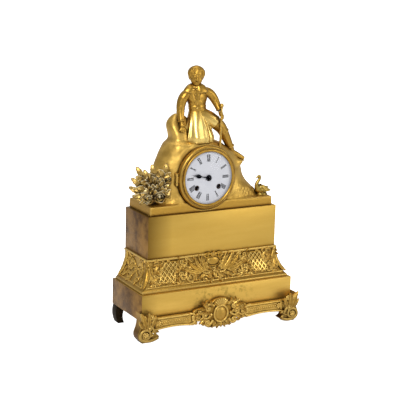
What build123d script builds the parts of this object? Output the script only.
"""Gilt mantel clock with a seated youth over a round eight-day striking movement.

Millimetres, Z up, front towards -Y. Every piece is its own solid in parts/.
"""

import os
from math import atan2, cos, hypot, pi, radians, sin, sqrt

from build123d import *

os.makedirs("parts", exist_ok=True)

# Plinth: lower block, hollow-moulded frieze, upper block
wall = 3.0
base_half = 141.0
base_front = -52.0
base_back = 62.0
base_low = 32.0
base_top = 76.0
base_opening_half = 105.0
frieze_low_half = 137.5
frieze_slope = 15.0
frieze_front = -45.5
frieze_back = 58.0
frieze_top = 128.0
frieze_lip = 3.5
frieze_wall = 5.0
plinth_half = 120.0
plinth_front = -28.0
plinth_back = 58.0
plinth_top = 198.0

# Feet and apron
front_y = -62.0
back_y = 62.0
foot_x = 138.5
volute_r = 13.5
foot_depth = 20.0
apron_top = 39.0
apron_t = 6.0
cartouche_t = 7.0

# Terrace and rock
terrace_half = 114.7
terrace_front = -23.6
terrace_back = 56.7
terrace_top = 213.5
rock_wall = 6.0
rod_r = 2.0
rod_x = 109.3
rod_ys = (8.0, 36.0)
rod_clear = 0.1

# Drum, bezel and dial
dial_x = -12.0
dial_z = 255.0
drum_r = 54.0
tube_r = 51.0
bore_r = 47.0
drum_front = -17.0
drum_back = 52.0
bezel_r = 52.9
sight_r = 43.3
bezel_back = -20.6
bezel_front = -31.0
dial_r = 44.7
dial_edge_y = -26.0
dial_mid_y = -27.2
dial_back = -24.4
dial_plate_t = 1.2
glass_r = 44.9
glass_t = 1.4
glass_rise = 8.8
hinge_x = dial_x - 55.6
hinge_y = -22.8
hinge_pin_r = 1.0
knuckle_r = 2.4
lug_half = 5.0
knuckle_end = 10.0
side_gap = 0.3
wind_hole_r = 4.6
centre_hole_r = 3.6

# Movement
plate_r = 42.0
front_plate_r = 45.0
plate_t = 2.5
front_plate_y = -16.5
back_plate_y = 22.0
running = 0.06
pivot_r = 0.6
arbor_end_play = 0.3
barrel_at = (20.4, -16.2)
strike_at = (-20.4, -16.2)
centre_at = (0.0, 0.0)
between_at = (13.9, -1.4)
third_at = (3.0, 12.2)
escape_at = (0.0, 22.0)
pallet_at = (0.0, 33.5)
minute_at = (4.8, 8.3)
second_at = (-22.2, -0.1)
pin_wheel_at = (-17.1, 11.3)
warning_at = (-18.6, 22.2)
fly_at = (-11.1, 24.9)
hammer_at = (-30.5, 14.0)
pillar_spots = ((0.0, -38.0), (36.0, 10.0), (-37.5, 3.0), (24.0, 29.5), (-16.0, 35.0))
dial_feet = ((18.0, 31.2), (-36.0, -6.0), (18.0, -31.2))

# Teeth, as shares of the module above and below the pitch line and of the tooth step
wheel_form = (0.9, 1.0, 0.25, 0.08)
pinion_form = (0.5, 1.2, 0.20, 0.12)
great_teeth = 80
between_leaves = 10
between_teeth = 60
centre_leaves = 10
centre_teeth = 80
third_leaves = 8
third_teeth = 78
escape_leaves = 6
escape_teeth = 36
escape_tip_r = 8.0
cannon_teeth = 12
minute_teeth = 36
minute_leaves = 10
hour_teeth = 40
second_leaves = 10
second_teeth = 72
pin_leaves = 8
pin_teeth = 60
warning_leaves = 6
warning_teeth = 54
fly_leaves = 6
ratchet_teeth = 24
ratchet_tip_r = 8.0
ratchet_root_r = 6.9
hammer_pins = 10

# Depth of each wheel and pinion
great_y = (1.0, 3.0)
barrel_y = (3.0, 18.0)
between_pinion_y = (0.0, 4.0)
between_wheel_y = (-4.0, -2.8)
centre_pinion_y = (-5.5, -1.5)
centre_wheel_y = (-9.5, -8.3)
third_pinion_y = (-11.0, -7.0)
third_wheel_y = (6.0, 7.2)
escape_pinion_y = (4.5, 9.0)
escape_wheel_y = (-6.0, -5.2)
anchor_y = (-6.4, -4.8)
second_pinion_y = (0.0, 4.0)
second_wheel_y = (-5.5, -4.5)
pin_pinion_y = (-7.0, -3.0)
pin_wheel_y = (8.5, 9.7)
warning_pinion_y = (7.0, 11.0)
warning_wheel_y = (-5.0, -4.0)
fly_pinion_y = (-6.5, -2.5)
fly_vane_y = (14.0, 20.0)
count_wheel_y = (25.5, 26.7)
ratchet_y = (-19.5, -17.3)
click_y = (-19.3, -17.5)
cannon_y = (-20.1, -18.5)
minute_wheel_y = (-19.9, -18.7)
minute_pinion_y = (-22.8, -19.9)
hour_wheel_y = (-22.6, -21.4)
hand_y = (-29.6, -28.6)

# Escapement, pendulum and bell
swing_r = 147.0
pendulum_y = 36.0
rod_half = 1.2
bob_r = 13.0
bob_t = 7.0
slot_half = 10.0
slot_y = (29.0, 43.0)
bell_r = 35.0
bell_rim_y = 40.5
bell_crown_y = 49.5
bell_t = 1.5
hammer_head_r = 3.0
hammer_head_reach = 41.5
hammer_head_angle = 125.0

# Hour hand
hand_angle = 281.8
hand_len = 30.1
hand_boss_r = 5.0
hour_pipe_r = 2.9
cannon_pipe_r = 1.8
centre_arbor_r = 1.0


def save(part, node):
    """Name a finished piece and write it to its own file."""
    part.label = node
    export_step(part, f"parts/{node}.step")


def face_on(y):
    """Upright plane across the clock at depth y, drawn in X and Z."""
    return Plane(origin=(0, y, 0), x_dir=(1, 0, 0), z_dir=(0, -1, 0))


def spot(at):
    """Place on the movement, measured from the dial's middle."""
    return (dial_x + at[0], dial_z + at[1])


def toward(a, b):
    """Angle from one arbor to another."""
    return atan2(b[1] - a[1], b[0] - a[0])


def apart(a, b):
    """Distance between two arbors."""
    return hypot(b[0] - a[0], b[1] - a[1])


def rod(at, y0, y1, r):
    """Round bar along the depth, at a place on the movement."""
    with BuildPart() as bar:
        with BuildSketch(face_on(y0)):
            with Locations(spot(at)):
                Circle(r)
        extrude(amount=y0 - y1)
    return bar.part


def block(x0, x1, y0, y1, z0, z1):
    """Square block between its corners."""
    with BuildPart() as piece:
        with BuildSketch(Plane.XY.offset(z0)):
            with Locations(((x0 + x1) / 2, (y0 + y1) / 2)):
                Rectangle(x1 - x0, y1 - y0)
        extrude(amount=z1 - z0)
    return piece.part


def upright(x, y, z0, z1, r):
    """Round bar standing on end."""
    with BuildPart() as bar:
        with BuildSketch(Plane.XY.offset(z0)):
            with Locations((x, y)):
                Circle(r)
        extrude(amount=z1 - z0)
    return bar.part


def turned(points, at=(0.0, 0.0)):
    """Piece turned about a front-to-back axis from its (radius, depth) half section."""
    x, z = spot(at)
    with BuildPart() as piece:
        with BuildSketch(Plane(origin=(x, 0, z), x_dir=(1, 0, 0), z_dir=(0, 0, 1))):
            with BuildLine():
                Polyline(*points, close=True)
            make_face()
        revolve(axis=Axis((x, 0, z), (0, 1, 0)))
    return piece.part


def toothed(at, ys, teeth, module, phase, form):
    """Disc with teeth around its rim."""
    above, below, root_half, tip_half = form
    step = 2 * pi / teeth
    tip = teeth * module / 2 + above * module
    root = teeth * module / 2 - below * module
    x, z = spot(at)
    points = []
    for i in range(teeth):
        for r, shift in ((root, -root_half), (tip, -tip_half), (tip, tip_half), (root, root_half)):
            a = phase + (i + shift) * step
            points.append((x + r * cos(a), z + r * sin(a)))
    with BuildPart() as disc:
        with BuildSketch(face_on(ys[0])):
            with BuildLine():
                Polyline(*points, close=True)
            make_face()
        extrude(amount=ys[0] - ys[1])
    return disc.part


def crossings(at, ys, rim_r, hub_r, bars, bar_w):
    """Windows between the arms of a wheel."""
    with BuildPart() as windows:
        with BuildSketch(face_on(ys[0])):
            with Locations(spot(at)):
                Circle(rim_r)
                Circle(hub_r, mode=Mode.SUBTRACT)
                for i in range(bars):
                    Rectangle(3 * rim_r, bar_w, rotation=180 * i / bars, mode=Mode.SUBTRACT)
        extrude(amount=ys[0] - ys[1])
    return windows.part


def arbor(at, r):
    """Shaft between the plates with a thin pivot at each end."""
    with BuildPart() as shaft:
        add(rod(at, front_plate_y + plate_t + arbor_end_play, back_plate_y - arbor_end_play, r))
        add(rod(at, front_plate_y, back_plate_y + plate_t, pivot_r))
    return shaft.part


def train_wheel(
    at, wheel_ys, teeth, wheel_module, wheel_phase, pinion_ys, leaves, pinion_module, pinion_phase, shaft
):
    """Wheel and pinion on one arbor."""
    rim_r = teeth * wheel_module / 2 - 2.6 * wheel_module
    with BuildPart() as piece:
        add(toothed(at, wheel_ys, teeth, wheel_module, wheel_phase, wheel_form))
        add(crossings(at, wheel_ys, rim_r, shaft + 1.6, 2, 1.3), mode=Mode.SUBTRACT)
        add(arbor(at, shaft))
        clear_r = leaves * pinion_module / 2 + 2.5 * pinion_module
        low, high = pinion_ys
        neck = turned(((0.3, low), (clear_r, low), (clear_r, high), (0.3, high)), at)
        add(neck, mode=Mode.SUBTRACT)
        add(toothed(at, pinion_ys, leaves, pinion_module, pinion_phase, pinion_form))
    return piece.part


def limb(points, radii, ref=(0, 1, 0)):
    """Smooth rounded form through the given middles; a radius is one number or (across, thick)."""
    sections = []
    for i, (point, radius) in enumerate(zip(points, radii)):
        before = Vector(*points[max(i - 1, 0)])
        after = Vector(*points[min(i + 1, len(points) - 1)])
        along = (after - before).normalized()
        across = Vector(*ref).cross(along).normalized()
        with BuildSketch(Plane(origin=point, x_dir=across, z_dir=along)) as section:
            if isinstance(radius, tuple):
                Ellipse(radius[0], radius[1])
            else:
                Circle(radius)
        sections.append(section.sketch)
    with BuildPart() as form:
        loft(sections=sections)
    return form.part


def egg(middle, rx, ry, rz):
    """Egg-shaped solid, built up in level slices."""
    x, y, z = middle
    sections = []
    for t in (-0.985, -0.85, -0.5, 0.0, 0.5, 0.85, 0.985):
        girth = sqrt(1 - t * t)
        with BuildSketch(Plane.XY.offset(z + t * rz)) as slice_at:
            with Locations((x, y)):
                Ellipse(rx * girth, ry * girth)
        sections.append(slice_at.sketch)
    with BuildPart() as form:
        loft(sections=sections)
    return form.part


def ball(middle, r):
    """Round ball."""
    with BuildPart() as form:
        with Locations(middle):
            Sphere(r)
    return form.part


def stack(rings):
    """Form lofted through level ovals, each (height, x, y, half width, half depth)."""
    sections = []
    for z, cx, cy, rx, ry in rings:
        with BuildSketch(Plane.XY.offset(z)) as ring:
            with Locations((cx, cy)):
                Ellipse(rx, ry)
        sections.append(ring.sketch)
    with BuildPart() as form:
        loft(sections=sections)
    return form.part


def largest(builder):
    """The main solid that is left after cutting."""
    return builder.part.solids().sort_by(SortBy.VOLUME)[-1]


def rock_ring(z, x0, x1, y0, y1):
    """Rounded outline of the rock at one height."""
    cx, cy, a, b = (x0 + x1) / 2, (y0 + y1) / 2, (x1 - x0) / 2, (y1 - y0) / 2
    k = 0.8
    with BuildSketch(Plane.XY.offset(z)) as ring:
        with BuildLine():
            Spline(
                (cx + a, cy), (cx + k * a, cy + k * b), (cx, cy + b), (cx - k * a, cy + k * b),
                (cx - a, cy), (cx - k * a, cy - k * b), (cx, cy - b), (cx + k * a, cy - k * b),
                periodic=True,
            )
        make_face()
    return ring.sketch


def rock(rings):
    """Rounded rock through its outlines, from the bottom up."""
    with BuildPart() as mass:
        loft(sections=[rock_ring(*ring) for ring in rings])
    return mass.part


# Lower block of the plinth: a hollow box with a floor and a wide opening at the top
base_block = block(-base_half, base_half, base_front, base_back, base_low, base_top)
with BuildPart() as base_plinth:
    add(base_block)
    inner_x = base_half - wall
    add(
        block(-inner_x, inner_x, base_front + wall, base_back - wall, base_low + wall, base_top - wall),
        mode=Mode.SUBTRACT,
    )
    add(
        block(
            -base_opening_half, base_opening_half, plinth_front + wall, plinth_back - wall,
            base_top - wall, base_top,
        ),
        mode=Mode.SUBTRACT,
    )
    for x in (-rod_x, rod_x):
        for y in rod_ys:
            add(upright(x, y, base_low, base_low + wall, rod_r + rod_clear), mode=Mode.SUBTRACT)
            add(upright(x, y, base_top - wall, base_top, rod_r + rod_clear), mode=Mode.SUBTRACT)
save(base_plinth.part, "base_plinth")

# Frieze: a hollow moulding mitred round three sides, closed by a flat back
frieze_low_z = base_top
lip_z = frieze_low_z + frieze_lip
neck_z = frieze_top - frieze_lip
neck_x = frieze_low_half - frieze_slope - 1.5
with BuildPart() as frieze:
    with BuildLine(Plane.XY.offset(frieze_low_z)):
        Polyline(
            (-frieze_low_half, frieze_back, 0), (-frieze_low_half, frieze_front, 0),
            (frieze_low_half, frieze_front, 0), (frieze_low_half, frieze_back, 0),
        )
    with BuildSketch(face_on(frieze_back)):
        with BuildLine():
            outer_low = (-frieze_low_half + 1.5, lip_z + 1)
            outer_top = (-neck_x, neck_z - 1)
            top_half = frieze_low_half - frieze_slope
            Polyline((-frieze_low_half, frieze_low_z), (-frieze_low_half, lip_z), outer_low)
            ThreePointArc(outer_low, (-neck_x - 3.6, (lip_z + neck_z) / 2 - 3), outer_top)
            Polyline(outer_top, (-top_half, neck_z), (-top_half, frieze_top))
            inner_top = (-top_half + frieze_wall, frieze_top)
            inner_low = (-frieze_low_half + frieze_wall + 2, frieze_low_z)
            Line((-top_half, frieze_top), inner_top)
            ThreePointArc(inner_top, (-neck_x + 1.0, (lip_z + neck_z) / 2 - 3), inner_low)
            Line(inner_low, (-frieze_low_half, frieze_low_z))
        make_face()
    sweep(transition=Transition.RIGHT)
    with BuildSketch(face_on(frieze_back - wall)):
        with BuildLine():
            low = (frieze_low_half - 3.0, frieze_low_z)
            high = (top_half - 2.5, frieze_top)
            middle = (neck_x + 0.6, (lip_z + neck_z) / 2 - 3)
            Line((-low[0], low[1]), low)
            ThreePointArc(low, middle, high)
            Line(high, (-high[0], high[1]))
            ThreePointArc((-high[0], high[1]), (-middle[0], middle[1]), (-low[0], low[1]))
        make_face()
    extrude(amount=-wall)
save(frieze.part, "frieze")

# Upper block: open below, with a slotted top for the pendulum
with BuildPart() as upper_plinth:
    add(block(-plinth_half, plinth_half, plinth_front, plinth_back, frieze_top, plinth_top))
    inner_x = plinth_half - wall
    add(
        block(-inner_x, inner_x, plinth_front + wall, plinth_back - wall, frieze_top, plinth_top - wall),
        mode=Mode.SUBTRACT,
    )
    add(
        block(dial_x - slot_half, dial_x + slot_half, slot_y[0], slot_y[1], plinth_top - wall, plinth_top),
        mode=Mode.SUBTRACT,
    )
    for x in (-rod_x, rod_x):
        for y in rod_ys:
            add(upright(x, y, plinth_top - wall, plinth_top, rod_r + rod_clear), mode=Mode.SUBTRACT)
save(upper_plinth.part, "upper_plinth")

# Rock casting: terrace, mound, boulder and foot rock around the drum
mound_rings = (
    (204.0, -110.0, 108.0, -19.0, 52.0),
    (218.0, -106.0, 101.0, -19.3, 51.5),
    (230.0, -102.0, 88.0, -19.5, 51.0),
    (245.0, -97.0, 74.0, -19.0, 50.5),
    (262.0, -92.0, 68.0, -18.5, 50.0),
    (280.0, -86.0, 62.0, -18.0, 49.0),
    (297.0, -78.5, 44.0, -17.0, 46.0),
    (311.0, -72.5, 18.0, -13.0, 40.0),
)
boulder_rings = (
    (296.0, -70.0, -34.0, -10.0, 34.0),
    (312.0, -62.5, -33.0, -6.0, 34.0),
    (324.0, -62.5, -33.0, -3.0, 34.0),
    (335.0, -65.5, -32.5, 2.5, 34.0),
    (346.0, -62.5, -33.0, 9.0, 32.0),
    (352.5, -56.0, -36.0, 13.0, 29.0),
    (356.0, -51.0, -41.0, 16.0, 25.0),
)
step_rings = (
    (252.0, 34.0, 62.0, -8.0, 20.0),
    (265.0, 34.0, 62.0, -10.0, 20.0),
    (274.0, 38.0, 68.0, -12.0, 18.0),
    (279.0, 44.0, 64.0, -6.0, 14.0),
)
hollow_rings = (
    (plinth_top - 1, -103.0, 91.0, -13.0, 46.0),
    (228.0, -96.0, 74.0, -13.0, 45.0),
    (262.0, -86.0, 62.0, -12.0, 44.0),
    (295.0, -71.0, 38.0, -10.0, 39.0),
)
with BuildPart() as rock_case:
    add(block(-terrace_half, terrace_half, terrace_front, terrace_back, plinth_top, terrace_top))
    add(rock(mound_rings))
    add(rock(boulder_rings))
    add(rock(step_rings))
    add(rod((0, 0), drum_front, drum_back - 3, drum_r))
    add(rock(hollow_rings), mode=Mode.SUBTRACT)
    add(rod((0, 0), drum_front, drum_back, tube_r))
    add(rod((0, 0), drum_front - 30, drum_back + 30, bore_r), mode=Mode.SUBTRACT)
    add(rod((0, 0), drum_front - 30, drum_front, bezel_r + 0.7), mode=Mode.SUBTRACT)
    add(block(hinge_x - 4.5, dial_x - 48, -40, drum_front, dial_z - 12, dial_z + 12), mode=Mode.SUBTRACT)
    add(rod((0, 0), drum_back, drum_back + 20, tube_r + 6), mode=Mode.SUBTRACT)
    add(
        block(dial_x - slot_half, dial_x + slot_half, slot_y[0], slot_y[1], plinth_top, dial_z - bore_r + 8),
        mode=Mode.SUBTRACT,
    )
    for x in (-rod_x, rod_x):
        for y in rod_ys:
            add(upright(x, y, plinth_top, plinth_top + 10, rod_r), mode=Mode.SUBTRACT)
save(rock_case.part, "rock_case")
solid_rock = rock_case.part

# Tie rods with their nuts hold rock, plinth and base together
with BuildPart() as tie_rods:
    for x in (-rod_x, rod_x):
        for y in rod_ys:
            add(upright(x, y, base_low - 6, plinth_top + 10, rod_r))
            with BuildSketch(Plane.XY.offset(base_low)):
                with Locations((x, y)):
                    RegularPolygon(4.2, 6)
            extrude(amount=-4)
save(tie_rods.part, "tie_rods")


def scroll_foot(side):
    """Scrolled front foot with a leaf that climbs the corner; side is -1 or 1."""
    with BuildPart() as foot:
        with BuildSketch(face_on(front_y)):
            with Locations((side * foot_x, volute_r)):
                Circle(volute_r)
            with Locations((side * foot_x, 2.0)):
                Rectangle(14.0, 4.0)
            with BuildLine():
                sole = (side * foot_x, 0.3)
                toe = (side * (foot_x - 21.0), 6.0)
                ankle = (side * (foot_x - 12.0), 17.0)
                ThreePointArc(sole, (side * (foot_x - 13.0), 1.2), toe)
                ThreePointArc(toe, (side * (foot_x - 14.5), 9.5), ankle)
                Line(ankle, sole)
            make_face()
            with BuildLine():
                outer = (side * (foot_x + 13.3), 17.0)
                tip = (side * (foot_x + 9.0), 50.0)
                inner = (side * (foot_x - 11.5), 21.0)
                ThreePointArc(outer, (side * (foot_x + 8.0), 34.0), tip)
                ThreePointArc(tip, (side * (foot_x - 4.0), 38.0), inner)
                Line(inner, outer)
            make_face()
        extrude(amount=-foot_depth)
        add(base_block, mode=Mode.SUBTRACT)
    return foot.part


left_foot = scroll_foot(-1)
right_foot = scroll_foot(1)
save(left_foot, "left_scroll_foot")
save(right_foot, "right_scroll_foot")


def rear_foot(side):
    """Plain bracket foot under a rear corner."""
    with BuildPart() as foot:
        with BuildSketch(face_on(base_back - 16)):
            with BuildLine():
                Polyline((side * 120.0, base_low), (side * 139.5, base_low))
                ThreePointArc((side * 139.5, base_low), (side * 141.5, 15.0), (side * 137.0, 0.0))
                Line((side * 137.0, 0.0), (side * 126.0, 0.0))
                ThreePointArc((side * 126.0, 0.0), (side * 128.5, 16.0), (side * 120.0, base_low))
            make_face()
        extrude(amount=base_back - 16 - back_y)
    return foot.part


save(rear_foot(-1), "left_rear_foot")
save(rear_foot(1), "right_rear_foot")

# Cartouche in the middle of the apron: a scrolled shield with a shell crest
with BuildPart() as apron_cartouche:
    with BuildSketch(face_on(base_front - cartouche_t)):
        half = ((0, 58), (13, 54.5), (22, 46), (34, 45), (52, 37), (47, 26), (34, 21), (20, 12), (0, 8.5))
        with BuildLine():
            Spline(*half, tangents=((1, 0), (-1, 0)))
            Spline(*[(-x, z) for x, z in half], tangents=((-1, 0), (1, 0)))
        make_face()
    extrude(amount=-cartouche_t)
    add(egg((0, base_front - cartouche_t, 30), 14.5, base_front - cartouche_t - front_y, 16.5))
    for angle in (-54, -36, -18, 0, 18, 36, 54):
        a = radians(angle)
        root = (4 * sin(a), base_front - cartouche_t + 1.0, 44 + 2 * cos(a))
        tip = (15 * sin(a), base_front - cartouche_t + 0.5, 44 + 13 * cos(a))
        add(limb((root, tip), (1.2, 2.0)))
save(apron_cartouche.part, "apron_cartouche")


def apron_rail(side, foot):
    """Moulded rail between a scrolled foot and the cartouche, arched below."""
    with BuildPart() as rail:
        with BuildSketch(face_on(base_front - apron_t)):
            with BuildLine():
                Polyline(
                    (side * 42.0, 16.0), (side * 42.0, apron_top),
                    (side * 134.0, apron_top), (side * 134.0, 15.0),
                )
                ThreePointArc((side * 134.0, 15.0), (side * 86.0, 20.5), (side * 42.0, 16.0))
            make_face()
        extrude(amount=-apron_t)
        add(foot, mode=Mode.SUBTRACT)
        add(apron_cartouche.part, mode=Mode.SUBTRACT)
    return rail.part


left_rail = apron_rail(-1, left_foot)
right_rail = apron_rail(1, right_foot)
save(left_rail, "left_apron_rail")
save(right_rail, "right_apron_rail")

# Seated youth: torso with belted tunic, head, arms, stretched leg and staff
torso_rings = (
    (311.0, -14.5, 5.0, 26.0, 20.0),
    (319.0, -15.0, 4.0, 26.0, 20.0),
    (334.0, -15.5, 7.0, 21.5, 17.0),
    (352.0, -15.5, 9.0, 16.5, 12.5),
    (367.0, -15.5, 10.0, 13.5, 9.8),
    (380.0, -17.5, 10.0, 18.0, 11.5),
    (389.0, -18.5, 10.0, 20.5, 10.5),
    (396.0, -19.0, 10.0, 15.0, 8.5),
    (402.0, -19.5, 9.5, 7.0, 6.5),
    (409.0, -19.5, 9.0, 5.8, 6.0),
)
head_rings = (
    (403.5, -19.8, 4.5, 4.2, 4.6),
    (408.5, -20.0, 6.0, 9.2, 10.0),
    (415.5, -20.0, 7.8, 12.8, 13.6),
    (422.5, -20.0, 8.8, 14.2, 14.6),
    (429.0, -20.0, 9.0, 11.6, 12.4),
    (433.2, -20.0, 9.0, 4.4, 5.0),
)
lap_path = ((-13.0, 7.0, 353.0), (-4.0, 5.0, 350.0), (6.0, 3.0, 345.5), (14.0, 2.0, 341.0))
with BuildPart() as figure_torso:
    add(stack(torso_rings))
    add(limb(lap_path, (11.5, 13.0, 13.4, 13.0)))
    add(solid_rock, mode=Mode.SUBTRACT)
torso = largest(figure_torso)
save(torso, "figure_torso")

with BuildPart() as figure_head:
    add(stack(head_rings))
    add(torso, mode=Mode.SUBTRACT)
save(largest(figure_head), "figure_head")

with BuildPart() as staff:
    add(limb(((19.8, -9.0, 368.5), (18.0, -12.0, 338.0), (15.5, -14.0, 298.0)), (1.9, 2.0, 2.1)))
    add(ball((19.8, -9.0, 369.0), 3.9))
    add(solid_rock, mode=Mode.SUBTRACT)
staff_solid = largest(staff)
save(staff_solid, "staff")

with BuildPart() as figure_right_arm:
    add(limb(
        ((-33.0, 10.0, 391.0), (-41.0, 10.0, 386.0), (-45.0, 11.0, 373.0), (-46.0, 10.0, 361.0),
         (-47.0, 6.0, 350.0), (-48.0, 2.0, 342.0), (-48.0, -1.0, 336.0), (-47.5, -4.0, 332.0)),
        (6.5, 7.8, 6.8, 6.2, 5.2, 4.4, (5.2, 3.6), (4.0, 2.6)),
    ))
    add(torso, mode=Mode.SUBTRACT)
    add(solid_rock, mode=Mode.SUBTRACT)
save(largest(figure_right_arm), "figure_right_arm")

with BuildPart() as figure_left_arm:
    add(limb(
        ((-5.0, 10.0, 392.0), (4.0, 10.0, 391.0), (12.0, 8.5, 383.5), (16.3, 4.5, 373.5),
         (18.3, -1.5, 364.0), (19.3, -6.0, 356.5), (20.5, -10.0, 351.0)),
        (7.0, 8.0, 7.2, 6.6, 5.2, (4.8, 4.6), (4.6, 4.6)),
    ))
    add(torso, mode=Mode.SUBTRACT)
    add(staff_solid, mode=Mode.SUBTRACT)
save(largest(figure_left_arm), "figure_left_arm")

with BuildPart() as figure_left_leg:
    add(limb(
        ((-6.0, 4.0, 349.0), (6.0, 3.0, 345.5), (17.0, 1.5, 339.0), (25.0, 0.0, 331.5),
         (30.5, -0.5, 322.0), (38.0, 0.0, 308.0), (44.5, 0.5, 296.0), (48.0, 1.0, 288.0)),
        ((11.5, 9.5), (12.5, 10.0), (11.5, 9.5), (9.5, 8.5), 7.8, 7.2, 5.6, 5.2),
    ))
    add(limb(
        ((43.5, 2.0, 289.0), (51.0, 0.5, 286.5), (60.0, -2.0, 282.0), (67.5, -4.0, 278.5)),
        ((4.6, 4.6), (5.0, 5.0), (5.0, 3.6), (3.4, 2.2)),
    ))
    add(torso, mode=Mode.SUBTRACT)
    add(staff_solid, mode=Mode.SUBTRACT)
    add(solid_rock, mode=Mode.SUBTRACT)
save(largest(figure_left_leg), "figure_left_leg")

# Bouquet on the terrace's left: leaves fan out behind two roses and a bud
rose_list = (((-98.5, -22.0, 228.5), 9.0), ((-115.5, -18.5, 226.5), 7.6), ((-82.5, -20.0, 255.5), 5.8))
with BuildPart() as bouquet_roses:
    for middle, r in rose_list:
        add(ball(middle, r))
save(bouquet_roses.part, "bouquet_roses")

bouquet_foot = (-100.0, -12.0, 217.0)
leaf_tips = (
    ((-138.5, 10.0, 242.5), 8.0),
    ((-133.5, 5.0, 229.5), 7.0),
    ((-135.0, 6.0, 262.0), 7.5),
    ((-127.0, 2.0, 278.0), 8.5),
    ((-116.0, -5.0, 272.0), 7.5),
    ((-104.0, -10.0, 282.5), 8.0),
    ((-93.0, -15.0, 276.0), 7.0),
    ((-83.0, -17.0, 284.5), 8.0),
    ((-82.0, -20.0, 266.0), 6.5),
)
with BuildPart() as bouquet_leaves:
    add(egg((-103.0, -12.0, 229.0), 17.0, 9.0, 15.0))
    for tip, half_width in leaf_tips:
        mid = tuple(0.42 * f + 0.58 * t for f, t in zip(bouquet_foot, tip))
        low = tuple(0.75 * f + 0.25 * t for f, t in zip(bouquet_foot, tip))
        mid = (mid[0], mid[1] - 5.0, mid[2])
        low = (low[0], low[1] - 3.0, low[2])
        breadths = ((2.5, 2.0), (half_width * 0.7, 1.8), (half_width, 1.5), (0.8, 0.6))
        add(limb((bouquet_foot, low, mid, tip), breadths, (0, -1, 0.2)))
    add(block(-140, -60, -60, 40, 190, terrace_top), mode=Mode.SUBTRACT)
    add(solid_rock, mode=Mode.SUBTRACT)
    for middle, r in rose_list:
        add(ball(middle, r), mode=Mode.SUBTRACT)
save(largest(bouquet_leaves), "bouquet_leaves")

# Swan on the terrace's right
with BuildPart() as swan:
    add(limb(
        ((94.0, -6.0, 223.0), (97.5, -6.0, 221.5), (103.5, -6.0, 221.5), (109.5, -6.0, 223.0),
         (116.0, -6.0, 226.0)),
        (2.5, (6.0, 5.5), (7.0, 6.0), (5.0, 4.2), 0.8),
    ))
    add(limb(
        ((98.0, -6.0, 221.0), (94.0, -6.0, 227.5), (95.2, -6.0, 235.5), (99.8, -6.0, 241.0),
         (99.4, -6.0, 244.5)),
        (4.0, 3.0, 2.3, 2.2, 2.2),
    ))
    add(ball((98.6, -6.0, 244.3), 2.9))
    add(limb(((96.8, -6.0, 244.1), (92.6, -6.0, 243.1)), (1.7, 0.7)))
    add(egg((104.5, -6.0, 213.0), 9.0, 7.0, 6.0))
    add(solid_rock, mode=Mode.SUBTRACT)
save(largest(swan), "swan")

# Fixed bezel seat with hinge knuckles and the two straps that run to the back ring
with BuildPart() as bezel_seat:
    add(turned((
        (45.2, -24.0), (46.8, -24.0), (46.8, bezel_back + 0.2), (51.5, bezel_back + 0.2), (51.5, drum_front),
        (46.8, drum_front), (46.8, front_plate_y), (42.5, front_plate_y), (42.5, front_plate_y - 2),
        (45.2, front_plate_y - 2),
    )))
    for low, high in ((lug_half + side_gap, knuckle_end), (-knuckle_end, -lug_half - side_gap)):
        add(upright(hinge_x, hinge_y, dial_z + low, dial_z + high, knuckle_r))
        add(block(hinge_x - 1.6, hinge_x + 1.6, hinge_y, drum_front, dial_z + low, dial_z + high))
        add(block(hinge_x - 1.6, dial_x - 49, bezel_back + 0.2, drum_front, dial_z + low, dial_z + high))
    add(
        upright(hinge_x, hinge_y, dial_z - knuckle_end, dial_z + knuckle_end, hinge_pin_r),
        mode=Mode.SUBTRACT,
    )
    for side in (-1, 1):
        x0, x1 = sorted((dial_x + side * 45.3, dial_x + side * 46.6))
        add(block(x0, x1, front_plate_y - 1, drum_back, dial_z - 4.5, dial_z + 4.5))
save(bezel_seat.part, "bezel_seat")

with BuildPart() as bezel_hinge_pin:
    add(upright(hinge_x, hinge_y, dial_z - knuckle_end, dial_z + knuckle_end, hinge_pin_r))
save(bezel_hinge_pin.part, "bezel_hinge_pin")

# Hinged bezel: stepped gilt ring that carries the glass
with BuildPart() as bezel:
    with BuildSketch(Plane(origin=(dial_x, 0, dial_z), x_dir=(1, 0, 0), z_dir=(0, 0, 1))):
        with BuildLine():
            Polyline((47.1, bezel_back), (bezel_r, bezel_back), (bezel_r, -23.0))
            ThreePointArc((bezel_r, -23.0), (52.2, -26.4), (49.8, -28.2))
            Polyline((49.8, -28.2), (49.2, -27.2), (47.8, -27.2), (47.4, -29.6))
            ThreePointArc((47.4, -29.6), (45.8, bezel_front), (44.1, -30.2))
            Polyline(
                (44.1, -30.2), (sight_r, -29.4), (sight_r, -28.4), (45.2, -28.4),
                (45.2, -24.6), (47.1, -24.6), (47.1, bezel_back),
            )
        make_face()
    revolve(axis=Axis((dial_x, 0, dial_z), (0, 1, 0)))
    add(upright(hinge_x, hinge_y, dial_z - lug_half, dial_z + lug_half, knuckle_r))
    add(block(hinge_x, dial_x - 50.5, hinge_y - 1.6, hinge_y + 1.6, dial_z - lug_half, dial_z + lug_half))
    add(
        upright(hinge_x, hinge_y, dial_z - lug_half, dial_z + lug_half, hinge_pin_r + running),
        mode=Mode.SUBTRACT,
    )
save(bezel.part, "bezel")

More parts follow.
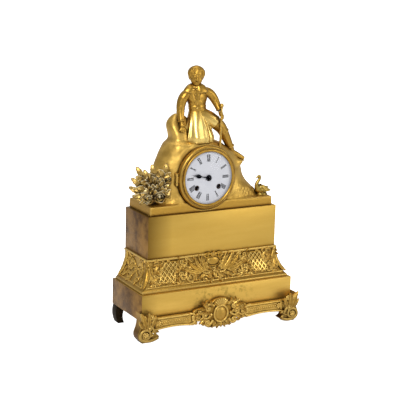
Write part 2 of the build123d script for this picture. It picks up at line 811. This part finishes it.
# Domed glass behind the bezel's lip
glass_y = -28.2
dome_r = sight_r - 0.4
ball_r = (dome_r**2 + glass_rise**2) / (2 * glass_rise)
half_rise = glass_rise - ball_r + sqrt(ball_r**2 - (dome_r / 2) ** 2)
with BuildPart() as bezel_glass:
    with BuildSketch(Plane(origin=(dial_x, 0, dial_z), x_dir=(1, 0, 0), z_dir=(0, 0, 1))):
        with BuildLine():
            Polyline(
                (dome_r, glass_y + glass_t), (glass_r, glass_y + glass_t),
                (glass_r, glass_y), (dome_r, glass_y),
            )
            ThreePointArc((dome_r, glass_y), (dome_r / 2, glass_y - half_rise), (0, glass_y - glass_rise))
            Line((0, glass_y - glass_rise), (0, glass_y - glass_rise + glass_t))
            ThreePointArc(
                (0, glass_y - glass_rise + glass_t),
                (dome_r / 2, glass_y - half_rise + glass_t),
                (dome_r, glass_y + glass_t),
            )
        make_face()
    revolve(axis=Axis((dial_x, 0, dial_z), (0, 1, 0)))
save(bezel_glass.part, "bezel_glass")

# Dial: brass plate with three feet, and the enamel with its winding holes
dial_plate_back = dial_back + dial_plate_t
with BuildPart() as dial_plate:
    add(rod((0, 0), dial_back, dial_plate_back, dial_r + 0.2))
    for foot in dial_feet:
        add(rod(foot, dial_plate_back, front_plate_y + plate_t, 1.5))
    add(rod((0, 0), dial_back, dial_plate_back, centre_hole_r), mode=Mode.SUBTRACT)
    for hole in (barrel_at, strike_at):
        add(rod(hole, dial_back, dial_plate_back, 3.0), mode=Mode.SUBTRACT)
save(dial_plate.part, "dial_plate")

dome = dial_edge_y - dial_mid_y
dial_ball = (dial_r**2 + dome**2) / (2 * dome)
with BuildPart() as enamel_dial:
    with BuildSketch(Plane(origin=(dial_x, 0, dial_z), x_dir=(1, 0, 0), z_dir=(0, 0, 1))):
        with BuildLine():
            mid_dome = dial_mid_y + dial_ball - sqrt(dial_ball**2 - (dial_r / 2) ** 2)
            Polyline((0, dial_mid_y), (0, dial_back), (dial_r, dial_back), (dial_r, dial_edge_y))
            ThreePointArc((dial_r, dial_edge_y), (dial_r / 2, mid_dome), (0, dial_mid_y))
        make_face()
    revolve(axis=Axis((dial_x, 0, dial_z), (0, 1, 0)))
    add(rod((0, 0), dial_mid_y - 1, dial_back, centre_hole_r), mode=Mode.SUBTRACT)
    for hole in (barrel_at, strike_at):
        add(rod(hole, dial_mid_y - 1, dial_back, wind_hole_r), mode=Mode.SUBTRACT)
save(enamel_dial.part, "enamel_dial")

# Hour hand with its moon-shaped swelling
hand_a = radians(hand_angle)
with BuildPart() as hour_hand:
    hand_up = (sin(hand_a), 0, cos(hand_a))
    hand_plane = Plane(origin=(dial_x, hand_y[0], dial_z), x_dir=hand_up, z_dir=(0, -1, 0))
    with BuildSketch(hand_plane):
        with BuildLine():
            Line((3.0, -0.8), (14.0, -0.7))
            ThreePointArc((14.0, -0.7), (19.0, -3.2), (24.0, -0.9))
            Polyline((24.0, -0.9), (hand_len, -0.15), (hand_len, 0.15), (24.0, 0.9))
            ThreePointArc((24.0, 0.9), (19.0, 3.2), (14.0, 0.7))
            Line((14.0, 0.7), (3.0, 0.8))
            Line((3.0, 0.8), (3.0, -0.8))
        make_face()
        Circle(hand_boss_r)
    extrude(amount=hand_y[0] - hand_y[1])
    add(rod((0, 0), hand_y[0], hand_y[1], hour_pipe_r), mode=Mode.SUBTRACT)
save(hour_hand.part, "hour_hand")

# Motion work under the dial
cannon_module = 2 * apart(centre_at, minute_at) / (cannon_teeth + minute_teeth)
hour_module = 2 * apart(centre_at, minute_at) / (minute_leaves + hour_teeth)
minute_angle = toward(minute_at, centre_at)
with BuildPart() as hour_wheel:
    add(toothed(centre_at, hour_wheel_y, hour_teeth, hour_module, minute_angle + pi, wheel_form))
    add(rod(centre_at, hand_y[0], hour_wheel_y[1], hour_pipe_r))
    add(rod(centre_at, hand_y[0] - 1, hour_wheel_y[1], cannon_pipe_r + 0.3), mode=Mode.SUBTRACT)
save(hour_wheel.part, "hour_wheel")

with BuildPart() as cannon_pinion:
    cannon_phase = minute_angle + pi + pi / cannon_teeth
    add(toothed(centre_at, cannon_y, cannon_teeth, cannon_module, cannon_phase, pinion_form))
    add(rod(centre_at, -30.4, cannon_y[1], cannon_pipe_r))
    with BuildSketch(face_on(-32.0)):
        with Locations(spot(centre_at)):
            Rectangle(2.4, 2.4, rotation=20)
    extrude(amount=-2.0)
    add(rod(centre_at, -29.0, cannon_y[1], centre_arbor_r), mode=Mode.SUBTRACT)
save(cannon_pinion.part, "cannon_pinion")

minute_stud_r = 0.9
with BuildPart() as minute_wheel:
    add(toothed(minute_at, minute_wheel_y, minute_teeth, cannon_module, minute_angle, wheel_form))
    add(crossings(minute_at, minute_wheel_y, 5.4, 3.0, 2, 1.2), mode=Mode.SUBTRACT)
    minute_phase = minute_angle + pi / minute_leaves
    add(toothed(minute_at, minute_pinion_y, minute_leaves, hour_module, minute_phase, pinion_form))
    add(rod(minute_at, minute_pinion_y[0], minute_wheel_y[1], minute_stud_r + running), mode=Mode.SUBTRACT)
save(minute_wheel.part, "minute_wheel")

# Going train
great_module = 2 * apart(barrel_at, between_at) / (great_teeth + between_leaves)
between_module = 2 * apart(between_at, centre_at) / (between_teeth + centre_leaves)
centre_module = 2 * apart(centre_at, third_at) / (centre_teeth + third_leaves)
third_module = 2 * apart(third_at, escape_at) / (third_teeth + escape_leaves)
save(
    train_wheel(
        between_at, between_wheel_y, between_teeth, between_module, toward(between_at, centre_at),
        between_pinion_y, between_leaves, great_module, toward(between_at, barrel_at) + pi / between_leaves,
        1.1,
    ),
    "intermediate_wheel",
)
save(
    train_wheel(
        third_at, third_wheel_y, third_teeth, third_module, toward(third_at, escape_at),
        third_pinion_y, third_leaves, centre_module, toward(third_at, centre_at) + pi / third_leaves, 0.9,
    ),
    "third_wheel",
)
with BuildPart() as center_wheel:
    add(train_wheel(
        centre_at, centre_wheel_y, centre_teeth, centre_module, toward(centre_at, third_at),
        centre_pinion_y, centre_leaves, between_module, toward(centre_at, between_at) + pi / centre_leaves,
        1.4,
    ))
    add(rod(centre_at, -29.0, front_plate_y + plate_t + arbor_end_play, centre_arbor_r))
save(center_wheel.part, "center_wheel")

escape_root_r = escape_tip_r - 1.3
with BuildPart() as escape_wheel:
    ex, ez = spot(escape_at)
    points = []
    for i in range(escape_teeth):
        a = 2 * pi * i / escape_teeth
        points.append((ex + escape_root_r * cos(a), ez + escape_root_r * sin(a)))
        b = a + 0.75 * 2 * pi / escape_teeth
        points.append((ex + escape_tip_r * cos(b), ez + escape_tip_r * sin(b)))
    with BuildSketch(face_on(escape_wheel_y[0])):
        with BuildLine():
            Polyline(*points, close=True)
        make_face()
    extrude(amount=escape_wheel_y[0] - escape_wheel_y[1])
    add(crossings(escape_at, escape_wheel_y, escape_root_r - 0.9, 2.2, 2, 1.0), mode=Mode.SUBTRACT)
    add(arbor(escape_at, 0.9))
    neck_ys = escape_pinion_y
    add(
        turned(((0.3, neck_ys[0]), (3.0, neck_ys[0]), (3.0, neck_ys[1]), (0.3, neck_ys[1])), escape_at),
        mode=Mode.SUBTRACT,
    )
    escape_phase = toward(escape_at, third_at) + pi / escape_leaves
    add(toothed(escape_at, escape_pinion_y, escape_leaves, third_module, escape_phase, pinion_form))
save(escape_wheel.part, "escape_wheel")


def barrel(at, wheel_phase):
    """Spring barrel with its great wheel, bored to turn on the winding arbor."""
    drum = great_teeth * great_module / 2 - 1.2
    with BuildPart() as piece:
        add(toothed(at, great_y, great_teeth, great_module, wheel_phase, wheel_form))
        add(turned((
            (arbor_r + running, great_y[0]), (drum, great_y[0]),
            (drum, barrel_y[1]), (arbor_r + running, barrel_y[1]),
            (arbor_r + running, barrel_y[1] - 1.2), (drum - 1.0, barrel_y[1] - 1.2), (drum - 1.0, great_y[1]),
            (arbor_r + running, great_y[1]),
        ), at))
        add(rod(at, great_y[0], great_y[1], arbor_r + running), mode=Mode.SUBTRACT)
    return piece.part


def mainspring(at):
    """Coiled strip that lies inside a barrel."""
    x, z = spot(at)
    inside, outside, turns, strip = 4.7, great_teeth * great_module / 2 - 2.3, 5, 0.45
    count = turns * 12

    def coil(extra):
        """Points along one face of the strip."""
        found = []
        for i in range(count + 1):
            a = 2 * pi * i / 12
            r = inside + (outside - inside - strip) * i / count + extra
            found.append((x + r * cos(a), z + r * sin(a)))
        return found

    inner_face, outer_face = coil(0.0), coil(strip)
    with BuildPart() as piece:
        with BuildSketch(face_on(barrel_y[0] + 1)):
            with BuildLine():
                Spline(*inner_face)
                Line(inner_face[-1], outer_face[-1])
                Spline(*outer_face)
                Line(outer_face[0], inner_face[0])
            make_face()
        extrude(amount=barrel_y[0] - barrel_y[1] + 3)
    return piece.part


arbor_r = 2.0
core_r = 3.6
nib_angle = radians(75)
click_pivot = (12.0 * cos(nib_angle - radians(55)), 12.0 * sin(nib_angle - radians(55)))
click_stud = (barrel_at[0] + click_pivot[0], barrel_at[1] + click_pivot[1])
click_stud_r = 1.0


def winding_arbor(at, hand):
    """Winding arbor with its square, ratchet and spring core; hand is 1, or -1 for the mirrored side."""
    x, z = spot(at)
    points = []
    for i in range(ratchet_teeth):
        a = nib_angle + 2 * pi * i / ratchet_teeth
        points.append((x + hand * ratchet_root_r * cos(a), z + ratchet_root_r * sin(a)))
        points.append((x + hand * ratchet_tip_r * cos(a), z + ratchet_tip_r * sin(a)))
    with BuildPart() as piece:
        add(rod(at, ratchet_y[1] - 2, back_plate_y - arbor_end_play, arbor_r))
        add(rod(at, back_plate_y - 1, back_plate_y + plate_t, 1.2))
        add(rod(at, barrel_y[0] + 0.5, barrel_y[1] - 1.8, core_r))
        with BuildSketch(face_on(ratchet_y[0])):
            with BuildLine():
                Polyline(*points, close=True)
            make_face()
        extrude(amount=ratchet_y[0] - ratchet_y[1])
        with BuildSketch(face_on(-27.0)):
            with Locations((x, z)):
                Rectangle(3.0, 3.0, rotation=12)
        extrude(amount=-27.0 - ratchet_y[0])
    return piece.part


def click(at, hand):
    """Pawl that drops into the ratchet, on its stud."""
    x, z = spot(at)
    px, pz = x + hand * click_pivot[0], z + click_pivot[1]

    def place(r, a):
        """Point at a radius and angle from the winding arbor."""
        return (x + hand * r * cos(a), z + r * sin(a))

    back = nib_angle - radians(55)
    outline = (
        place(7.2, nib_angle - 0.022),
        place(8.4, nib_angle - 0.02),
        place(10.2, nib_angle - 0.03),
        place(13.9, back + 0.12),
        place(10.3, back),
        place(8.5, nib_angle - 0.17),
    )
    with BuildPart() as piece:
        with BuildSketch(face_on(click_y[0])):
            with BuildLine():
                Polyline(*outline, close=True)
            make_face()
            with Locations((px, pz)):
                Circle(2.2)
        extrude(amount=click_y[0] - click_y[1])
        with BuildSketch(face_on(click_y[0])):
            with Locations((px, pz)):
                Circle(click_stud_r + running)
        extrude(amount=click_y[0] - click_y[1], mode=Mode.SUBTRACT)
    return piece.part


second_module = 2 * apart(strike_at, second_at) / (great_teeth + second_leaves)
save(barrel(barrel_at, toward(barrel_at, between_at)), "time_barrel")
save(barrel(strike_at, toward(strike_at, second_at)), "strike_barrel")
save(mainspring(barrel_at), "time_mainspring")
save(mainspring(strike_at), "strike_mainspring")
save(winding_arbor(barrel_at, 1), "time_winding_arbor")
save(winding_arbor(strike_at, -1), "strike_winding_arbor")
save(click(barrel_at, 1), "time_click")
save(click(strike_at, -1), "strike_click")

# Striking train, count wheel, hammer and bell
pin_module = 2 * apart(second_at, pin_wheel_at) / (second_teeth + pin_leaves)
warning_module = 2 * apart(pin_wheel_at, warning_at) / (pin_teeth + warning_leaves)
fly_module = 2 * apart(warning_at, fly_at) / (warning_teeth + fly_leaves)
with BuildPart() as strike_second_wheel:
    add(train_wheel(
        second_at, second_wheel_y, second_teeth, pin_module, toward(second_at, pin_wheel_at),
        second_pinion_y, second_leaves, second_module, toward(second_at, strike_at) + pi / second_leaves, 1.1,
    ))
    add(rod(second_at, back_plate_y, count_wheel_y[1] + 1, pivot_r))
save(strike_second_wheel.part, "strike_second_wheel")

with BuildPart() as count_wheel:
    add(rod(second_at, count_wheel_y[0], count_wheel_y[1], 14.0))
    add(crossings(second_at, count_wheel_y, 10.5, 3.0, 3, 1.6), mode=Mode.SUBTRACT)
    blows = 0
    for hour in range(1, 13):
        a = 2 * pi * blows / 90
        notch = (second_at[0] + 14.0 * cos(a), second_at[1] + 14.0 * sin(a))
        add(rod(notch, count_wheel_y[0], count_wheel_y[1], 0.9), mode=Mode.SUBTRACT)
        blows += hour + 1
    add(rod(second_at, count_wheel_y[0], count_wheel_y[1], pivot_r), mode=Mode.SUBTRACT)
save(count_wheel.part, "count_wheel")

with BuildPart() as pin_wheel:
    add(train_wheel(
        pin_wheel_at, pin_wheel_y, pin_teeth, warning_module, toward(pin_wheel_at, warning_at),
        pin_pinion_y, pin_leaves, pin_module, toward(pin_wheel_at, second_at) + pi / pin_leaves, 0.9,
    ))
    for i in range(hammer_pins):
        a = 2 * pi * (i + 0.5) / hammer_pins
        pin = (pin_wheel_at[0] + 9.2 * cos(a), pin_wheel_at[1] + 9.2 * sin(a))
        add(rod(pin, pin_wheel_y[0], pin_wheel_y[1] + 3.3, 0.4))
save(pin_wheel.part, "pin_wheel")

save(
    train_wheel(
        warning_at, warning_wheel_y, warning_teeth, fly_module, toward(warning_at, fly_at),
        warning_pinion_y, warning_leaves, warning_module,
        toward(warning_at, pin_wheel_at) + pi / warning_leaves, 0.8,
    ),
    "warning_wheel",
)

with BuildPart() as fly:
    fx, fz = spot(fly_at)
    add(arbor(fly_at, 0.8))
    neck_ys = fly_pinion_y
    add(
        turned(((0.3, neck_ys[0]), (2.5, neck_ys[0]), (2.5, neck_ys[1]), (0.3, neck_ys[1])), fly_at),
        mode=Mode.SUBTRACT,
    )
    fly_phase = toward(fly_at, warning_at) + pi / fly_leaves
    add(toothed(fly_at, fly_pinion_y, fly_leaves, fly_module, fly_phase, pinion_form))
    add(block(fx - 5.8, fx + 5.8, fly_vane_y[0], fly_vane_y[1], fz - 0.5, fz + 0.5))
save(fly.part, "fly")

head_a = radians(hammer_head_angle)
head_at = (hammer_head_reach * cos(head_a), hammer_head_reach * sin(head_a))
tail_a = toward(hammer_at, pin_wheel_at)
hammer_arm_y = (28.6, 31.0)


def flat_arm(a, b, ys, width):
    """Flat bar between two places on the movement."""
    x, z = spot(((a[0] + b[0]) / 2, (a[1] + b[1]) / 2))
    with BuildPart() as bar:
        with BuildSketch(face_on(ys[0])):
            with Locations((x, z)):
                SlotCenterToCenter(apart(a, b), width, rotation=toward(a, b) * 180 / pi)
        extrude(amount=ys[0] - ys[1])
    return bar.part


with BuildPart() as hammer:
    add(arbor(hammer_at, 1.0))
    add(rod(hammer_at, back_plate_y, hammer_arm_y[1], pivot_r))
    add(flat_arm(hammer_at, head_at, hammer_arm_y, 2.6))
    add(rod(head_at, hammer_arm_y[0], 44.0, hammer_head_r))
    tail = (hammer_at[0] + 3.0 * cos(tail_a), hammer_at[1] + 3.0 * sin(tail_a))
    add(flat_arm(hammer_at, tail, (10.2, 12.6), 2.0))
save(hammer.part, "hammer")

stand_at = (14.0, -14.0)
bar_y = (42.5, 45.0)
with BuildPart() as bell_stand:
    add(rod(stand_at, back_plate_y + plate_t, bar_y[1], 2.4))
    add(rod(stand_at, back_plate_y + plate_t, back_plate_y + plate_t + 1.5, 4.5))
    add(flat_arm(stand_at, (0, 0), bar_y, 4.6))
    add(rod((0, 0), bar_y[0], bell_crown_y - bell_t, 3.0))
    add(rod((0, 0), bar_y[1], bell_crown_y + 2, 1.5))
    with BuildSketch(face_on(bell_crown_y)):
        with Locations(spot((0, 0))):
            RegularPolygon(3.4, 6)
    extrude(amount=-1.8)
save(bell_stand.part, "bell_stand")

with BuildPart() as bell:
    with BuildSketch(Plane(origin=(dial_x, 0, dial_z), x_dir=(1, 0, 0), z_dir=(0, 0, 1))):
        with BuildLine():
            Line((1.5, bell_crown_y), (8.0, bell_crown_y))
            ThreePointArc((8.0, bell_crown_y), (bell_r - 6, bell_rim_y + 6.4), (bell_r, bell_rim_y))
            Line((bell_r, bell_rim_y), (bell_r - bell_t, bell_rim_y))
            ThreePointArc(
                (bell_r - bell_t, bell_rim_y), (bell_r - 7.2, bell_rim_y + 5.2), (8.0, bell_crown_y - bell_t)
            )
            Line((8.0, bell_crown_y - bell_t), (1.5, bell_crown_y - bell_t))
            Line((1.5, bell_crown_y - bell_t), (1.5, bell_crown_y))
        make_face()
    revolve(axis=Axis((dial_x, 0, dial_z), (0, 1, 0)))
save(bell.part, "bell")

# Anchor with its arbor and crutch, back cock and pendulum
crutch_drop = 26.0
cock_y = (31.5, 33.5)
crutch_y = (26.6, 28.2)
nib_a = radians(46)
nib_clear = 0.85
with BuildPart() as pallets:
    px, pz = spot(pallet_at)
    ez = spot(escape_at)[1]
    nib_r = escape_tip_r + nib_clear
    for side in (-1, 1):
        tip = (px + side * nib_r * sin(nib_a), ez + nib_r * cos(nib_a))
        top = (px + side * (nib_r + 2.2) * sin(nib_a + 0.12), ez + (nib_r + 2.2) * cos(nib_a + 0.12))
        inner = (px + side * nib_r * sin(nib_a - 0.16), ez + nib_r * cos(nib_a - 0.16) + 0.25)
        with BuildSketch(face_on(anchor_y[0])):
            with BuildLine():
                elbow = (px + side * 4.6, pz - 3.6)
                Polyline(tip, top, (px + side * 1.0, pz + 1.8), (px, pz), elbow, inner, close=True)
            make_face()
        extrude(amount=anchor_y[0] - anchor_y[1])
    add(rod(pallet_at, anchor_y[0], anchor_y[1], 2.3))
    add(rod(pallet_at, front_plate_y + plate_t + arbor_end_play, crutch_y[1] + 2, 0.9))
    add(rod(pallet_at, front_plate_y, cock_y[1], pivot_r))
    low = (pallet_at[0], pallet_at[1] - crutch_drop)
    add(flat_arm(pallet_at, low, crutch_y, 3.2))
    for side in (-1, 1):
        prong = (side * (rod_half + 0.5 + 0.6), low[1])
        add(rod(prong, crutch_y[0], pendulum_y + 1.4, 0.6))
    add(flat_arm((-2.3, low[1]), (2.3, low[1]), crutch_y, 2.6))
save(pallets.part, "pallets")

with BuildPart() as back_cock:
    add(flat_arm((-11.0, pallet_at[1]), (11.0, pallet_at[1]), cock_y, 7.0))
    for side in (-1, 1):
        add(rod((side * 11.0, pallet_at[1]), back_plate_y + plate_t, cock_y[1], 3.0))
    add(rod(pallet_at, cock_y[0], cock_y[1], pivot_r + running), mode=Mode.SUBTRACT)
    add(rod(pallet_at, cock_y[1], pendulum_y + 3.0, 1.0))
    add(rod(pallet_at, cock_y[1], cock_y[1] + 0.6, 2.0))
    add(rod(pallet_at, pendulum_y + 2.0, pendulum_y + 3.0, 2.0))
save(back_cock.part, "back_cock")

bob_at = (pallet_at[0], pallet_at[1] - swing_r)
with BuildPart() as pendulum_rod:
    rx, rz = spot(pallet_at)
    bx, bz = spot(bob_at)
    add(block(rx - rod_half, rx + rod_half, pendulum_y - 0.6, pendulum_y + 0.6, bz - bob_r - 4, rz - 1.5))
    add(rod(pallet_at, pendulum_y - 1.2, pendulum_y + 1.2, 2.6))
    add(rod(pallet_at, pendulum_y - 1.2, pendulum_y + 1.2, 1.0 + running), mode=Mode.SUBTRACT)
    add(block(rx - 2.6, rx + 2.6, pendulum_y - 2.6, pendulum_y + 2.6, bz - bob_r - 2.6, bz - bob_r - 0.1))
save(pendulum_rod.part, "pendulum_rod")

with BuildPart() as pendulum_bob:
    with BuildSketch(Plane(origin=(bx, 0, bz), x_dir=(1, 0, 0), z_dir=(0, 0, 1))):
        with BuildLine():
            shoulder = bob_r * 0.62
            rim = (bob_r, pendulum_y)
            ThreePointArc((0, pendulum_y - bob_t / 2), (shoulder, pendulum_y - bob_t * 0.4), rim)
            ThreePointArc(rim, (shoulder, pendulum_y + bob_t * 0.4), (0, pendulum_y + bob_t / 2))
            Line((0, pendulum_y + bob_t / 2), (0, pendulum_y - bob_t / 2))
        make_face()
    revolve(axis=Axis((bx, 0, bz), (0, 1, 0)))
    add(
        block(
            bx - rod_half, bx + rod_half, pendulum_y - 0.6, pendulum_y + 0.6, bz - bob_r - 4, bz + bob_r + 4
        ),
        mode=Mode.SUBTRACT,
    )
save(pendulum_bob.part, "pendulum_bob")

# Movement plates and pillars
pivot_spots = (between_at, third_at, escape_at, second_at, pin_wheel_at, warning_at, fly_at, hammer_at)
with BuildPart() as front_plate:
    add(rod((0, 0), front_plate_y, front_plate_y + plate_t, front_plate_r))
    for at in pivot_spots + (pallet_at,):
        add(rod(at, front_plate_y, front_plate_y + plate_t, pivot_r + running), mode=Mode.SUBTRACT)
    for at in (barrel_at, strike_at):
        add(rod(at, front_plate_y, front_plate_y + plate_t, arbor_r + running), mode=Mode.SUBTRACT)
    add(rod(centre_at, front_plate_y, front_plate_y + plate_t, centre_arbor_r + running), mode=Mode.SUBTRACT)
    for foot in dial_feet:
        add(rod(foot, front_plate_y, front_plate_y + plate_t, 1.5), mode=Mode.SUBTRACT)
    add(rod(minute_at, minute_pinion_y[0] - 0.2, front_plate_y, minute_stud_r))
    for side in (-1, 1):
        add(rod((side * click_stud[0], click_stud[1]), click_y[0] - 0.3, front_plate_y, click_stud_r))
save(front_plate.part, "front_plate")

with BuildPart() as back_plate:
    add(rod((0, 0), back_plate_y, back_plate_y + plate_t, plate_r))
    for at in pivot_spots + (centre_at,):
        add(rod(at, back_plate_y, back_plate_y + plate_t, pivot_r + running), mode=Mode.SUBTRACT)
    for at in (barrel_at, strike_at):
        add(rod(at, back_plate_y, back_plate_y + plate_t, 1.2 + running), mode=Mode.SUBTRACT)
    add(rod(pallet_at, back_plate_y, back_plate_y + plate_t, 1.5), mode=Mode.SUBTRACT)
save(back_plate.part, "back_plate")

with BuildPart() as plate_pillars:
    for at in pillar_spots:
        add(rod(at, front_plate_y + plate_t, back_plate_y, 2.5))
save(plate_pillars.part, "plate_pillars")

# Back ring with the fixed hinge pin, and the round back door
door_r = 44.0
door_y = (54.8, 56.2)
door_hinge_x = dial_x + 49.5
door_hinge_y = 57.0
door_knuckle_r = 2.2
with BuildPart() as back_ring:
    add(turned(((42.0, drum_back), (50.5, drum_back), (50.5, drum_back + 2.5), (42.0, drum_back + 2.5))))
    for low, high in ((lug_half + side_gap, knuckle_end), (-knuckle_end, -lug_half - side_gap)):
        add(upright(door_hinge_x, door_hinge_y, dial_z + low, dial_z + high, door_knuckle_r))
        low_z, high_z = dial_z + low, dial_z + high
        add(block(door_hinge_x - 1.0, door_hinge_x + 1.0, drum_back + 1, door_hinge_y, low_z, high_z))
    add(upright(door_hinge_x, door_hinge_y, dial_z - knuckle_end, dial_z + knuckle_end, hinge_pin_r))
save(back_ring.part, "back_ring")

with BuildPart() as back_door:
    add(rod((0, 0), door_y[0], door_y[1], door_r))
    add(block(dial_x + 40, door_hinge_x, door_y[0], door_y[1], dial_z - lug_half, dial_z + lug_half))
    add(upright(door_hinge_x, door_hinge_y, dial_z - lug_half, dial_z + lug_half, door_knuckle_r))
    add(
        upright(door_hinge_x, door_hinge_y, dial_z - lug_half, dial_z + lug_half, hinge_pin_r + running),
        mode=Mode.SUBTRACT,
    )
    add(rod((-38.0, 0), door_y[1], door_y[1] + 4.0, 2.5))
save(back_door.part, "back_door")
